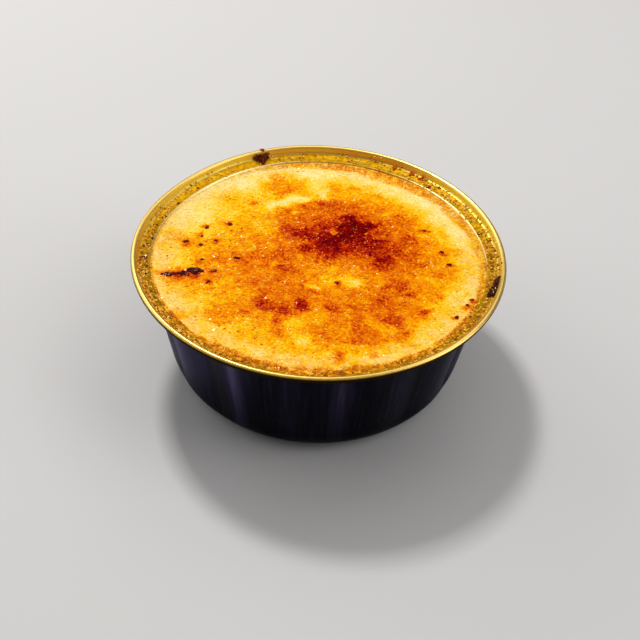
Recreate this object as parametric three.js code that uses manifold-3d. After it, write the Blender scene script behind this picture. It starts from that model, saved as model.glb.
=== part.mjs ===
// A creme brulee in the round foil cup that it was baked in.
// Millimetres, +Z up. The origin is the middle of the flat base, and the front of the cup faces -Y.
// The cup is one thin pressed shell with a rolled rim, a sloping ledge and a fluted wall. The custard fills
// it up to just under the ledge, and its torched sugar crust is relief and fused grains on the custard.
import * as THREE from "three";
import { mergeVertices } from "three/addons/utils/BufferGeometryUtils.js";
import Module from "manifold-3d";

const wasm = await Module();
wasm.setup();

// Driving dimensions of the cup.
const CUP_HEIGHT = 33.5;
const RIM_RADIUS = 44.1;
const BEAD_RADIUS = 0.7;
const FOIL = 0.3;
const WALL_TOP_RADIUS = 40.2;
const WALL_TOP_HEIGHT = 29.4;
const WALL_FOOT_RADIUS = 36.05;
const CORNER_RADIUS = 7.5;
const LEDGE_INNER_RADIUS = 39.85;
const LEDGE_OUTER_RADIUS = 42.25;
const LEDGE_HEIGHT = 31.6;
const LIP_HEIGHT = 30.7;
const LIP_ROUNDING = 0.35;
const LIP_DROP = 0.5;
const FLANK_RUN = 0.35;

// The wall's flutes: round lobes with a narrow crease between each pair.
const FLUTES = 15;
const FLUTE_DEPTH = 0.75;
const FIRST_CREASE = -13.7;
const FLUTE_STARTS = 2.5;
const FLUTE_FULL_FROM = 9;
const FLUTE_FULL_TO = 27.4;

// A shallow dent at the back on the left, where a hand has pressed the soft rim in.
const DENT_ANGLE = -127;
const DENT_HALF_WIDTH = 24;
const DENT_DEPTH = 0.7;
const DENT_STARTS = 14;

// Driving dimensions of the custard and its crust.
const CUSTARD_LEVEL = 30;
const CUSTARD_GAP = 0.3;
const CRUST_WAVE = 0.2;
const CRUST_WAVELENGTH = 9;
const CRUST_RIPPLE = 0.1;
const CRUST_RIPPLE_LENGTH = 4;
const CRUST_RIPPLE_SHIFT = 40;
const FRINGE_WIDTH = 1.8;
const FRINGE_RISE = 0.15;

// How finely round things are faceted.
const SIDES_PER_FLUTE = 6;
const CORNER_STEPS = 3;
const BEAD_STEPS = 7;
const CRUST_RINGS = 10;

// Pools of melted caramel that stand a little proud of the crust: middle, half widths and rise.
const CARAMEL_POOLS = [
  { x: 7, y: 10, halfX: 8, halfY: 6, rise: 0.35 },
  { x: -5, y: 8.8, halfX: 5, halfY: 2.2, rise: 0.2 },
  { x: 16, y: 3, halfX: 5, halfY: 3.5, rise: 0.25 },
  { x: 17.5, y: -21.5, halfX: 5, halfY: 4, rise: 0.15 },
];

// Burnt specks on the crust: place and width.
const BURNT_SPECKS = [
  [-32.2, 3.9, 1.3], [-27.7, 9.4, 1.5], [-22.1, 10.9, 1.2], [-28.9, 6.5, 1.1], [-25, 4.3, 1.4],
  [-28.5, 2.5, 1.2], [-19.5, -2, 1.3], [-27.4, -3.1, 1], [-24.2, -7.1, 1.1], [-25.3, -10.9, 1.3],
  [26.2, 10.8, 1.5], [29.8, 2.1, 1.4], [31.2, -2.4, 1.1], [34.9, -14.8, 1.2], [33.8, -16.4, 1.1],
  [30.7, -21, 1.5], [33.6, -20.9, 1], [4.2, -10.1, 1.3],
];
const SPECK_DEPTH = 0.7;
const SPECK_HEIGHT = 0.6;

// The burnt streak on the left: a row of long lumps that grow wider towards its inner end.
const STREAK = { from: [-36.3, -8.5], to: [-27.6, -7.2], lumps: 5, smallest: 0.75, largest: 1.35 };
const STREAK_STRETCH = 2.1;
const STREAK_HEIGHT = 0.8;

// Lumps of burnt sugar on the ledge: angle from the front, radius of their place, width along and across
// the ledge, and height. The long ones are faceted more finely, and the middle of each is a fifth of its
// height above the ledge.
const LEDGE_LUMPS = [
  { angle: -158.6, radius: 42, along: 4.4, across: 2.8, height: 2.4 },
  { angle: 70.8, radius: 41.7, along: 3.8, across: 1.9, height: 1.3 },
  { angle: 75.8, radius: 42.2, along: 4.2, across: 1.4, height: 1.3 },
  { angle: 151, radius: 42.2, along: 1.3, across: 1, height: 0.8 },
  { angle: 144, radius: 42.2, along: 1.4, across: 1.1, height: 0.8 },
  { angle: 139, radius: 42.2, along: 1.1, across: 0.9, height: 0.7 },
  { angle: 131.5, radius: 42.2, along: 1, across: 0.9, height: 0.7 },
  { angle: 95, radius: 41, along: 1.3, across: 0.9, height: 0.6 },
  { angle: -84.7, radius: 41.1, along: 1.3, across: 0.9, height: 0.7 },
  { angle: -76, radius: 41, along: 1, across: 0.9, height: 0.6 },
];
const LONG_LUMP = 2;
const LUMP_PROUD = 0.2;

// Loose grains of sugar, spread by rule: how many and how wide.
const CRUST_GRAINS = 34;
const FRINGE_GRAINS = 24;
const LEDGE_GRAINS = 24;
const GRAIN_WIDTH = 0.95;
const LEDGE_GRAIN_WIDTH = 0.76;
const GRAIN_SPREAD = 0.35;
const GRAIN_CLEARANCE = 0.7;
const POOL_SPILL = 1.25;
const GRAIN_SEED = 20;

const radians = THREE.MathUtils.degToRad;
const smoothstep = THREE.MathUtils.smoothstep;
const taper = Math.atan((WALL_TOP_RADIUS - WALL_FOOT_RADIUS) / WALL_TOP_HEIGHT);
const cornerCentre = WALL_FOOT_RADIUS + CORNER_RADIUS * Math.tan(taper) - CORNER_RADIUS / Math.cos(taper);

// A steady stream of numbers from 0 to 1 for one seed.
function seededRandom(seed) {
  let state = seed;
  return () => {
    state = (state * 1664525 + 1013904223) % 4294967296;
    return state / 4294967296;
  };
}

// A fixed random height, from -1 to 1, for each point of a square lattice.
function latticeHeight(column, row) {
  const mixed = Math.sin(column * 127.1 + row * 311.7) * 43758.5453;
  return 2 * (mixed - Math.floor(mixed)) - 1;
}

// Smooth noise from -1 to 1: the lattice heights, blended between their points.
function noise(x, y) {
  const column = Math.floor(x);
  const row = Math.floor(y);
  const u = smoothstep(x - column, 0, 1);
  const v = smoothstep(y - row, 0, 1);
  const near = THREE.MathUtils.lerp(latticeHeight(column, row), latticeHeight(column + 1, row), u);
  const far = THREE.MathUtils.lerp(latticeHeight(column, row + 1), latticeHeight(column + 1, row + 1), u);
  return THREE.MathUtils.lerp(near, far, v);
}

// A geometry as a closed solid: its points alone, with shared ones merged.
function solidOf(geometry) {
  const bare = geometry.clone();
  bare.deleteAttribute("normal");
  bare.deleteAttribute("uv");
  const merged = mergeVertices(bare, 1e-3);
  return new wasm.Manifold(
    new wasm.Mesh({
      numProp: 3,
      vertProperties: merged.attributes.position.array,
      triVerts: new Uint32Array(merged.index.array),
    }),
  );
}

// A closed solid as a faceted geometry.
function geometryOf(solid) {
  const mesh = solid.getMesh();
  const geometry = new THREE.BufferGeometry();
  geometry.setAttribute("position", new THREE.BufferAttribute(mesh.vertProperties, mesh.numProp));
  geometry.setIndex(new THREE.BufferAttribute(mesh.triVerts, 1));
  const faceted = geometry.toNonIndexed();
  faceted.computeVertexNormals();
  return faceted;
}

// How far the flutes pull the wall in at one angle from the front and one height: nothing on a lobe's
// crest, the full depth in a crease, and fading out under the ledge and in the rounded bottom corner.
function fluteInset(angle, height) {
  const turn = (FLUTES * (angle - radians(FIRST_CREASE))) / 2;
  const crease = 1 - Math.abs(Math.sin(turn));
  const foot = smoothstep(height, FLUTE_STARTS, FLUTE_FULL_FROM);
  const shoulder = 1 - smoothstep(height, FLUTE_FULL_TO, WALL_TOP_HEIGHT);
  return FLUTE_DEPTH * crease * foot * shoulder;
}

// The share by which the cup's radius shrinks at one angle from the front and one height.
function squeeze(angle, height) {
  const fromDent = angle - radians(DENT_ANGLE);
  const turn = THREE.MathUtils.euclideanModulo(fromDent + Math.PI, 2 * Math.PI) - Math.PI;
  const depth = DENT_DEPTH * Math.exp(-((turn / radians(DENT_HALF_WIDTH)) ** 2));
  return (depth / LEDGE_INNER_RADIUS) * smoothstep(height, DENT_STARTS, WALL_TOP_HEIGHT);
}

// Half of a cup-shaped section from the axis out to the top of the wall, a given distance inside the
// foil's outer face: flat base, rounded corner, straight tapered wall.
function cupSection(inset) {
  const points = [new THREE.Vector2(0, inset)];
  for (let step = 0; step <= CORNER_STEPS; step++) {
    const angle = THREE.MathUtils.lerp(-Math.PI / 2, -taper, step / CORNER_STEPS);
    const reach = CORNER_RADIUS - inset;
    points.push(
      new THREE.Vector2(cornerCentre + reach * Math.cos(angle), CORNER_RADIUS + reach * Math.sin(angle)),
    );
  }
  for (const height of [FLUTE_FULL_FROM, FLUTE_FULL_TO, WALL_TOP_HEIGHT])
    points.push(
      new THREE.Vector2(WALL_FOOT_RADIUS + height * Math.tan(taper) - inset / Math.cos(taper), height),
    );
  return points;
}

// A section turned about the vertical axis, with the flutes and the dent pressed into it.
function turnedWithFlutes(section) {
  const geometry = new THREE.LatheGeometry(section, FLUTES * SIDES_PER_FLUTE, radians(FIRST_CREASE));
  geometry.rotateX(Math.PI / 2);
  const place = geometry.attributes.position;
  for (let i = 0; i < place.count; i++) {
    const radius = Math.hypot(place.getX(i), place.getY(i));
    if (radius < 1) continue;
    const angle = Math.atan2(place.getX(i), -place.getY(i));
    const scale = 1 - squeeze(angle, place.getZ(i)) - fluteInset(angle, place.getZ(i)) / radius;
    place.setX(i, place.getX(i) * scale);
    place.setY(i, place.getY(i) * scale);
  }
  return geometry;
}

// The ledge and rolled rim in section, from the wall's outer face over the bead to its inner face.
function rimSection() {
  const lipRadius = LEDGE_INNER_RADIUS + LIP_ROUNDING;
  const lean = Math.atan2(LEDGE_HEIGHT - LIP_HEIGHT, LEDGE_OUTER_RADIUS - lipRadius);
  const under = (radius, height) =>
    new THREE.Vector2(radius + FOIL * Math.sin(lean), height - FOIL * Math.cos(lean));
  const points = [
    new THREE.Vector2(LEDGE_INNER_RADIUS + FOIL, LIP_HEIGHT - LIP_DROP),
    under(lipRadius, LIP_HEIGHT),
    under(LEDGE_OUTER_RADIUS, LEDGE_HEIGHT),
  ];
  for (let step = 0; step <= BEAD_STEPS; step++) {
    const angle = THREE.MathUtils.lerp(radians(-135), radians(180), step / BEAD_STEPS);
    const radius = RIM_RADIUS - BEAD_RADIUS + BEAD_RADIUS * Math.cos(angle);
    const height = CUP_HEIGHT - BEAD_RADIUS + BEAD_RADIUS * Math.sin(angle);
    points.push(new THREE.Vector2(radius, height));
  }
  points.push(
    new THREE.Vector2(LEDGE_OUTER_RADIUS + FLANK_RUN, LEDGE_HEIGHT + FLANK_RUN),
    new THREE.Vector2(LEDGE_OUTER_RADIUS, LEDGE_HEIGHT),
    new THREE.Vector2(lipRadius, LIP_HEIGHT),
    new THREE.Vector2(LEDGE_INNER_RADIUS, LIP_HEIGHT - LIP_DROP),
  );
  return points;
}

// Height of the ledge's upper face at a radius.
function ledgeTop(radius) {
  const lipRadius = LEDGE_INNER_RADIUS + LIP_ROUNDING;
  const share = (radius - lipRadius) / (LEDGE_OUTER_RADIUS - lipRadius);
  return THREE.MathUtils.lerp(LIP_HEIGHT, LEDGE_HEIGHT, share);
}

// The place on the dented cup of a point that the round one would have at an angle and a radius.
function placeOnCup(angle, radius) {
  const reach = radius * (1 - squeeze(angle, CUP_HEIGHT));
  return { x: reach * Math.sin(angle), y: -reach * Math.cos(angle) };
}

// Height of the crust at a place: long waves and ripples, the caramel pools, and the fringe that climbs
// towards the cup.
function crustHeight(x, y) {
  let height = CUSTARD_LEVEL;
  height += CRUST_WAVE * noise(x / CRUST_WAVELENGTH, y / CRUST_WAVELENGTH);
  height += CRUST_RIPPLE * noise(x / CRUST_RIPPLE_LENGTH + CRUST_RIPPLE_SHIFT, y / CRUST_RIPPLE_LENGTH);
  for (const pool of CARAMEL_POOLS) {
    const away = ((x - pool.x) / pool.halfX) ** 2 + ((y - pool.y) / pool.halfY) ** 2;
    height += pool.rise * Math.exp(-away);
  }
  const wall = LEDGE_INNER_RADIUS * (1 - squeeze(Math.atan2(x, -y), CUP_HEIGHT));
  const away = wall - CUSTARD_GAP - Math.hypot(x, y);
  return height + FRINGE_RISE * (1 - smoothstep(away, 0, FRINGE_WIDTH));
}

// A rough lump: an icosahedron stretched to its size, laid on a place and turned a random way.
function lump(width, depth, height, x, y, z, turn, random, detail = 0) {
  const geometry = new THREE.IcosahedronGeometry(0.5, detail);
  geometry.rotateX(random() * Math.PI);
  geometry.rotateY(random() * Math.PI);
  geometry.scale(width, depth, height);
  geometry.rotateZ(turn);
  geometry.translate(x, y, z);
  return solidOf(geometry);
}

// A grain a little wider or narrower than the usual one, sunk to its middle in what it lies on.
function grain(x, y, z, random, width = GRAIN_WIDTH) {
  const size = () => width * (1 + GRAIN_SPREAD * (random() - 0.5));
  return lump(size(), size(), size(), x, y, z, random() * Math.PI, random);
}

// The burnt pieces and the largest sugar grains of the crust.
function crustPieces() {
  const random = seededRandom(GRAIN_SEED);
  const pieces = [];
  for (const [x, y, width] of BURNT_SPECKS) {
    const turn = random() * Math.PI;
    const height = SPECK_HEIGHT * width;
    pieces.push(lump(width, SPECK_DEPTH * width, height, x, y, crustHeight(x, y), turn, random));
  }
  const { from, to, lumps, smallest, largest } = STREAK;
  const heading = Math.atan2(to[1] - from[1], to[0] - from[0]);
  for (let i = 0; i < lumps; i++) {
    const along = i / (lumps - 1);
    const x = THREE.MathUtils.lerp(from[0], to[0], along);
    const y = THREE.MathUtils.lerp(from[1], to[1], along);
    const size = THREE.MathUtils.lerp(smallest, largest, along);
    const length = STREAK_STRETCH * size;
    pieces.push(lump(length, size, STREAK_HEIGHT * size, x, y, crustHeight(x, y), heading, random, 1));
  }
  // The crust's grains lie thickest on the caramel pools: each pool gets its share, at random inside it.
  const room = CARAMEL_POOLS.reduce((sum, pool) => sum + pool.halfX * pool.halfY, 0);
  for (const pool of CARAMEL_POOLS) {
    const share = Math.round((CRUST_GRAINS * pool.halfX * pool.halfY) / room);
    for (let i = 0; i < share; i++) {
      const angle = 2 * Math.PI * random();
      const reach = POOL_SPILL * Math.sqrt(random());
      const x = pool.x + pool.halfX * reach * Math.cos(angle);
      const y = pool.y + pool.halfY * reach * Math.sin(angle);
      pieces.push(grain(x, y, crustHeight(x, y), random));
    }
  }
  // The fringe's grains go round the edge, one in each equal share of the turn.
  const fringe = LEDGE_INNER_RADIUS - CUSTARD_GAP - GRAIN_CLEARANCE;
  for (let i = 0; i < FRINGE_GRAINS; i++) {
    const angle = (2 * Math.PI * (i + random())) / FRINGE_GRAINS;
    const { x, y } = placeOnCup(angle, fringe - FRINGE_WIDTH * random());
    pieces.push(grain(x, y, crustHeight(x, y), random));
  }
  return pieces;
}

// The burnt lumps on the ledge, and sugar grains spread round it.
function ledgePieces() {
  const random = seededRandom(GRAIN_SEED + 1);
  const pieces = [];
  for (const { angle, radius, along, across, height } of LEDGE_LUMPS) {
    const turn = radians(angle);
    const { x, y } = placeOnCup(turn, radius);
    const detail = along > LONG_LUMP ? 1 : 0;
    const z = ledgeTop(radius) + LUMP_PROUD * height;
    pieces.push(lump(along, across, height, x, y, z, turn, random, detail));
  }
  for (let i = 0; i < LEDGE_GRAINS; i++) {
    const angle = (2 * Math.PI * (i + random())) / LEDGE_GRAINS;
    const radius = THREE.MathUtils.lerp(LEDGE_INNER_RADIUS + GRAIN_CLEARANCE, LEDGE_OUTER_RADIUS, random());
    const { x, y } = placeOnCup(angle, radius);
    pieces.push(grain(x, y, ledgeTop(radius), random, LEDGE_GRAIN_WIDTH));
  }
  return pieces;
}

function foilCup() {
  const outside = cupSection(0);
  const inside = cupSection(FOIL).reverse();
  let solid = solidOf(turnedWithFlutes([...outside, ...rimSection(), ...inside]));
  for (const piece of ledgePieces()) solid = solid.add(piece);
  const lacquer = new THREE.MeshStandardMaterial({ color: "#b8912f", metalness: 0.9, roughness: 0.3 });
  const mesh = new THREE.Mesh(geometryOf(solid), lacquer);
  mesh.name = "foil_cup";
  return mesh;
}

function custard() {
  const section = cupSection(FOIL + CUSTARD_GAP);
  const edge = LEDGE_INNER_RADIUS - CUSTARD_GAP;
  for (let ring = 0; ring <= CRUST_RINGS; ring++)
    section.push(new THREE.Vector2(edge * (1 - ring / CRUST_RINGS), CUSTARD_LEVEL));
  const geometry = turnedWithFlutes(section);
  const place = geometry.attributes.position;
  for (let i = 0; i < place.count; i++)
    if (place.getZ(i) > CUSTARD_LEVEL - 0.01) place.setZ(i, crustHeight(place.getX(i), place.getY(i)));
  let solid = solidOf(geometry);
  for (const piece of crustPieces()) solid = solid.add(piece);
  const baked = new THREE.MeshStandardMaterial({ color: "#f0b649", metalness: 0, roughness: 0.45 });
  const mesh = new THREE.Mesh(geometryOf(solid), baked);
  mesh.name = "custard";
  return mesh;
}

const cremeBrulee = new THREE.Group();
cremeBrulee.add(foilCup(), custard());

export default cremeBrulee;
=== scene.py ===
# %% [markdown]
# # A creme brulee in its foil cup
# A baked custard with a torched sugar crust, in the lacquered foil cup that it was baked in. The packed
# solids fix every size and place, and this lesson builds the surfaces that are seen: a pressed foil cup with
# a rolled rim, the custard with its scorched crust, and the sugar that lies on both.
#
# Everything is worked out in millimetres, seen from the front (-Y) with +Z up, and becomes metres only when
# it is put into a mesh.

import math

import bpy
import numpy as np
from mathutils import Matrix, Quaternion, Vector


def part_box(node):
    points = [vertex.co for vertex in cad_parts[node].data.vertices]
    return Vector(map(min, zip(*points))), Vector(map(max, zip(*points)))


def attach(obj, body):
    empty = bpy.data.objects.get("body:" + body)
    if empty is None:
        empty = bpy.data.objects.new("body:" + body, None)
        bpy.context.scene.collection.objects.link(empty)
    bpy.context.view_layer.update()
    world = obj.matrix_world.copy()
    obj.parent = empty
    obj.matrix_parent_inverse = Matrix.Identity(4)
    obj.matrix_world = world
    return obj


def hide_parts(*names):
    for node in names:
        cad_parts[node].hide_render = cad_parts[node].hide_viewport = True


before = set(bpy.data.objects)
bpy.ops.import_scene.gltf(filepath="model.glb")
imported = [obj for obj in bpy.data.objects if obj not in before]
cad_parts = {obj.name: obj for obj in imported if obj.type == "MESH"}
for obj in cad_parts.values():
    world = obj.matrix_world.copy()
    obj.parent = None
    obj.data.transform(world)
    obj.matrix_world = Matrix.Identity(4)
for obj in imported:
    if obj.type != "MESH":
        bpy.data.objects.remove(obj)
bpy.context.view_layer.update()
MM = 0.001

# %% [markdown]
# ## Meshes from arrays
# Each piece is a surface worked out as whole arrays of points. A surface of two parameters is a grid, so its
# faces are the quads between neighbouring rows and columns, and one function can write them all. Blender's
# own loops over vertices would take minutes for the crust; arrays take milliseconds.


# %% Put arrays of points and faces into a Blender mesh
def grid_faces(numbers, wrap=False):
    """Quads of a grid of point numbers: each joins a point, the next in its row, and the same two in the next
    row. With wrap, the last column joins the first."""
    after = np.roll(numbers, -1, axis=1)
    corners = np.stack([numbers[:-1], after[:-1], after[1:], numbers[1:]], -1)
    return (corners if wrap else corners[:, :-1]).reshape(-1, 4)


def add_object(name, data):
    """A new object in the scene, with that mesh, lamp or camera."""
    thing = bpy.data.objects.new(name, data)
    bpy.context.scene.collection.objects.link(thing)
    return thing


def make_piece(name, points, face_groups, materials, slot, replaces=None, smooth=True, wears=None, **values):
    """Makes an object from points in millimetres and groups of faces that each have the same number of corners.
    Each of the named values becomes an attribute with one number for each point."""
    mesh = bpy.data.meshes.new(name)
    mesh.vertices.add(len(points))
    mesh.vertices.foreach_set("co", (points * MM).astype(np.float32).ravel())
    corners = np.concatenate([group.ravel() for group in face_groups]).astype(np.int32)
    sizes = np.concatenate([np.full(len(group), group.shape[1]) for group in face_groups])
    mesh.loops.add(len(corners))
    mesh.loops.foreach_set("vertex_index", corners)
    mesh.polygons.add(len(sizes))
    mesh.polygons.foreach_set("loop_start", (np.cumsum(sizes) - sizes).astype(np.int32))
    mesh.polygons.foreach_set("use_smooth", np.full(len(sizes), smooth))
    for material in materials:
        mesh.materials.append(material)
    if wears is not None:
        mesh.polygons.foreach_set("material_index", wears.astype(np.int32))
    for label, numbers in values.items():
        attribute = mesh.attributes.new(label, "FLOAT", "POINT")
        attribute.data.foreach_set("value", np.asarray(numbers, np.float32))
    mesh.update(calc_edges=True)
    mesh.validate()
    piece = add_object(name, mesh)
    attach(piece, "root")
    if replaces:
        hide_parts(replaces)
    low, high = np.round(points.min(0), 2), np.round(points.max(0), 2)
    print(f"{name}: {(sizes - 2).sum()} triangles, from {low} to {high} mm")


# %% [markdown]
# ## Shader maths as expressions
# A finish is a sum of small effects, and node code for sums is hard to read. One small class wraps the output
# of a node, so that `1 - mask * 0.5` adds its Math nodes by itself. Every other node comes from one method,
# which takes the node's type, its settings and its sockets.


# %% A socket that can be added and multiplied, and a paint box that makes nodes
class Wire:
    """The output of a node. An expression of wires and numbers adds the Math nodes that work it out."""

    def __init__(self, paint, socket):
        self.paint = paint
        self.socket = socket

    def math(self, operation, *terms):
        return self.paint.node("ShaderNodeMath", {"operation": operation}, dict(enumerate(terms)))

    def __add__(self, other):
        return self.math("ADD", self, other)

    def __sub__(self, other):
        return self.math("SUBTRACT", self, other)

    def __rsub__(self, other):
        return self.math("SUBTRACT", other, self)

    def __mul__(self, other):
        return self.math("MULTIPLY", self, other)

    def rises(self, start, end):
        """0 below start, 1 above end, and a smooth step between them. With start above end, it falls."""
        low, high = min(start, end), max(start, end)
        ends = {1: low, 2: high, 3: 0.0 if start < end else 1.0, 4: 1.0 if start < end else 0.0}
        return self.paint.node("ShaderNodeMapRange", {"interpolation_type": "SMOOTHSTEP"}, {0: self, **ends})

    __radd__ = __add__
    __rmul__ = __mul__


class Paint:
    """A new material and its nodes. self.shader is the Principled shader that the finish is set on."""

    def __init__(self, name, constants):
        self.material = bpy.data.materials.new(name)
        self.material.use_nodes = True
        self.nodes = self.material.node_tree.nodes
        self.links = self.material.node_tree.links
        self.nodes.clear()
        self.shader = self.nodes.new("ShaderNodeBsdfPrincipled")
        output = self.nodes.new("ShaderNodeOutputMaterial")
        self.links.new(self.shader.outputs[0], output.inputs["Surface"])
        self.set(self.shader, constants)

    def set(self, node, sockets):
        """Gives each named or numbered socket its value, or a link from a wire."""
        for key, value in sockets.items():
            if isinstance(value, Wire):
                self.links.new(value.socket, node.inputs[key])
            else:
                node.inputs[key].default_value = value

    def node(self, kind, settings, sockets, output=0):
        """Adds a node: its settings first, where stops are a ramp's places with their screen colours, then its
        sockets."""
        node = self.nodes.new(kind)
        for key, value in settings.items():
            if key == "stops":
                ramp = node.color_ramp.elements
                while len(ramp) < len(value):
                    ramp.new(0.5)
                for element, (place, *colour) in zip(ramp, value):
                    element.position = place
                    element.color = tint(*colour)
            else:
                setattr(node, key, value)
        self.set(node, sockets)
        return Wire(self, node.outputs[output])

    def vector(self, operation, *terms, output=0):
        """Vector maths on places, directions and sets of three numbers."""
        return self.node("ShaderNodeVectorMath", {"operation": operation}, dict(enumerate(terms)), output)

    def places(self):
        """Each point's own place on the object, in metres."""
        return self.node("ShaderNodeTexCoord", {}, {}, "Object")

    def value(self, label):
        """The piece's attribute of that name."""
        return self.node("ShaderNodeAttribute", {"attribute_name": label}, {}, "Fac")

    def noise(self, places, size, detail=3.0, roughness=0.55):
        """Smooth noise round 0.5 with features of about that size in millimetres."""
        sockets = {"Vector": places, "Scale": 1 / (size * MM), "Detail": detail, "Roughness": roughness}
        return self.node("ShaderNodeTexNoise", {}, sockets)

    def mix(self, factor, first, second):
        """Two colours or colour wires, mixed by a factor."""
        settings = {"data_type": "RGBA", "clamp_factor": True}
        return self.node("ShaderNodeMix", settings, {0: factor, 6: first, 7: second}, 2)

    def bump(self, height, depth, under=None):
        """A bump of that depth in millimetres where height goes from 0 to 1, on top of the one under it."""
        sockets = {"Height": height, "Distance": depth * MM, "Strength": 1.0}
        if under:
            sockets["Normal"] = under
        return self.node("ShaderNodeBump", {}, sockets)

    def finish(self, sockets):
        self.set(self.shader, sockets)
        return self.material


def tint(red, green, blue):
    """A colour picked from 0 to 255 as on a screen, as the linear colour that a shader takes."""
    screen = np.array([red, green, blue]) / 255
    linear = np.where(screen <= 0.04045, screen / 12.92, ((screen + 0.055) / 1.055) ** 2.4)
    return (*linear.tolist(), 1.0)


# %% [markdown]
# ## The foil cup
# The real cup is one disc of thin aluminium, lacquered gold on the food's side and near-black blue on the
# other, and pressed in one stroke. It could be made as an outer and an inner shape cut from each other, but a
# pressed sheet is simpler than that: one line in section, carried round the axis, with half the foil's
# thickness on each side of it. The rim is the same sheet rolled outwards, so the gold side ends up on the
# outside of the roll, as on the real one.

# %% The sizes of the cup, in millimetres
_, cup_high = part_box("foil_cup")
RIM_RADIUS = cup_high.x / MM
CUP_HEIGHT = cup_high.z / MM
FOIL = 0.3
BEAD_RADIUS = 0.7
WALL_TOP_RADIUS = 40.2
WALL_TOP_HEIGHT = 29.4
WALL_FOOT_RADIUS = 36.05
CORNER_RADIUS = 7.5
LEDGE_INNER_RADIUS = 39.85
LEDGE_OUTER_RADIUS = 42.3
LEDGE_HEIGHT = 31.6
LIP_HEIGHT = 30.7
taper = math.atan((WALL_TOP_RADIUS - WALL_FOOT_RADIUS) / WALL_TOP_HEIGHT)
corner_centre = WALL_FOOT_RADIUS + CORNER_RADIUS * math.tan(taper) - CORNER_RADIUS / math.cos(taper)
print(f"rim radius {RIM_RADIUS:.2f}, height {CUP_HEIGHT:.2f}, wall leans {math.degrees(taper):.1f} degrees")


# %% The foil's middle line in section
def line(start, end, count):
    """Evenly spaced points on a straight line, without its last one."""
    share = np.linspace(0, 1, count, endpoint=False)[:, None]
    return np.array(start) * (1 - share) + np.array(end) * share


def arc(centre, radius, start, end, count):
    """Evenly spaced points on an arc, between two angles in degrees."""
    angle = np.radians(np.linspace(start, end, count))
    return np.array(centre) + radius * np.stack([np.cos(angle), np.sin(angle)], -1)


def rounded(points, times):
    """A line with its corners cut: each pass puts two points on every stretch, a quarter in from its ends."""
    for _ in range(times):
        first, second = points[:-1], points[1:]
        cut = np.stack([first * 0.75 + second * 0.25, first * 0.25 + second * 0.75], 1).reshape(-1, 2)
        points = np.vstack([points[:1], cut, points[-1:]])
    return points


half = FOIL / 2
bead_centre = (RIM_RADIUS - BEAD_RADIUS, CUP_HEIGHT - BEAD_RADIUS)
curl_radius = BEAD_RADIUS - half
corner = arc((corner_centre, CORNER_RADIUS), CORNER_RADIUS - half, -90, -math.degrees(taper), 16)
wall_end = np.array([LEDGE_INNER_RADIUS + half, WALL_TOP_HEIGHT - 0.3])
rim_bends = np.array([
    wall_end,
    (LEDGE_INNER_RADIUS + half, LIP_HEIGHT - 0.6),
    (LEDGE_INNER_RADIUS + half + 0.03, LIP_HEIGHT - 0.24),
    (LEDGE_INNER_RADIUS + 0.5, LIP_HEIGHT - 0.1),
    (LEDGE_OUTER_RADIUS, LEDGE_HEIGHT - half),
    (LEDGE_OUTER_RADIUS + 0.36, LEDGE_HEIGHT + 0.08),
    (bead_centre[0] - curl_radius, LEDGE_HEIGHT + 0.5),
    (bead_centre[0] - curl_radius, bead_centre[1]),
])
middle_line = np.vstack([
    line((0, half), (corner_centre, half), 14),
    corner,
    line(corner[-1], wall_end, 34)[1:],
    rounded(rim_bends, 3),
    arc(bead_centre, curl_radius, 180, -115, 22)[1:],
])
print("points along the foil's section:", len(middle_line))

# %% [markdown]
# ## Flutes
# The wall is pressed into fifteen round lobes with a narrow crease between each pair. On the real press a
# lobe is a shallow arc, so the pull inwards follows the absolute value of a sine, which has a rounded top and
# a sharp foot. A little of a second term rounds the foot, as foil can't fold sharply.

# %% The flutes and the cup's points
FLUTES = 15
FLUTE_DEPTH = 0.75
FIRST_CREASE = -13.7
CREASE_ROUNDING = 0.05
FLUTE_STARTS = 2.5
FLUTE_FULL_FROM = 9.0
FLUTE_FULL_TO = 27.4
DENT_ANGLE = -127.0
DENT_HALF_WIDTH = 24.0
DENT_DEPTH = 0.7
DENT_STARTS = 14.0
COLUMNS = FLUTES * 22


def smoothstep(value, start, end):
    """0 at start and 1 at end, with a smooth rise between them."""
    share = np.clip((value - start) / (end - start), 0, 1)
    return share * share * (3 - 2 * share)


def flute_inset(angle, height):
    """How far the flutes pull the wall in: the full depth in a crease, nothing on a lobe, and fading out above
    the rounded corner and under the ledge."""
    wave = np.sin(FLUTES * (angle - math.radians(FIRST_CREASE)) / 2)
    lobe = np.sqrt(wave**2 + CREASE_ROUNDING**2) - CREASE_ROUNDING
    crease = 1 - lobe / (math.hypot(1, CREASE_ROUNDING) - CREASE_ROUNDING)
    foot = smoothstep(height, FLUTE_STARTS, FLUTE_FULL_FROM)
    shoulder = 1 - smoothstep(height, FLUTE_FULL_TO, WALL_TOP_HEIGHT)
    return FLUTE_DEPTH * crease * foot * shoulder


def squeeze(angle, height):
    """The share by which the cup's radius shrinks where a hand has pressed the soft foil in a little:
    exp(-(turn from the dent's middle / its half width)^2), fading out down the wall."""
    turn = (angle - math.radians(DENT_ANGLE) + np.pi) % (2 * np.pi) - np.pi
    depth = DENT_DEPTH * np.exp(-((turn / math.radians(DENT_HALF_WIDTH)) ** 2))
    return depth / LEDGE_INNER_RADIUS * smoothstep(height, DENT_STARTS, WALL_TOP_HEIGHT)


def mixed(number):
    """A fixed random number from 0 to 1 for each number: the far digits of its sine, as good as random."""
    large = np.sin(number) * 43758.5453
    return large - np.floor(large)


def lattice(column, row):
    """A fixed random height from -1 to 1 for each point of a square lattice."""
    return 2 * mixed(column * 127.1 + row * 311.7) - 1


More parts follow.
